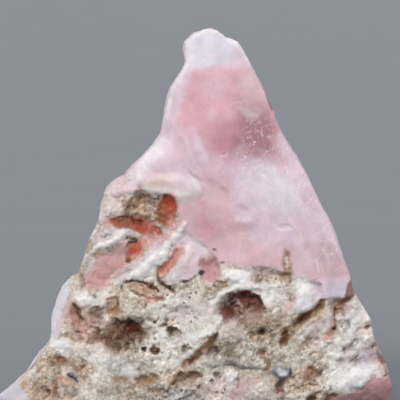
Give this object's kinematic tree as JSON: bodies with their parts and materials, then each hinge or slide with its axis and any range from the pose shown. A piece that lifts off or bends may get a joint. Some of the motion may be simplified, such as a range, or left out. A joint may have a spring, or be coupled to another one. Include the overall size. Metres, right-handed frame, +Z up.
{
  "type": "rough mineral specimen",
  "caption": "Rough pink opal specimen: a flat-based triangular stone with a smooth opal top, a pitted weathered face and curved fracture faces behind.",
  "frame": {"origin": "middle of the box round the stone, at the flat sawn base that it stands on", "axes": "+Z up, the weathered front face towards -Y, +X to the right seen from the front"},
  "size_m": [0.0998, 0.0434, 0.0962],
  "materials": {
    "opal_stone": "waxy translucent pink opal above, rough ivory and tan matrix below, with white, amber and brown veins"
  },
  "bodies": {
    "root": {"pink_opal": "opal_stone"}
  },
  "joints": []
}
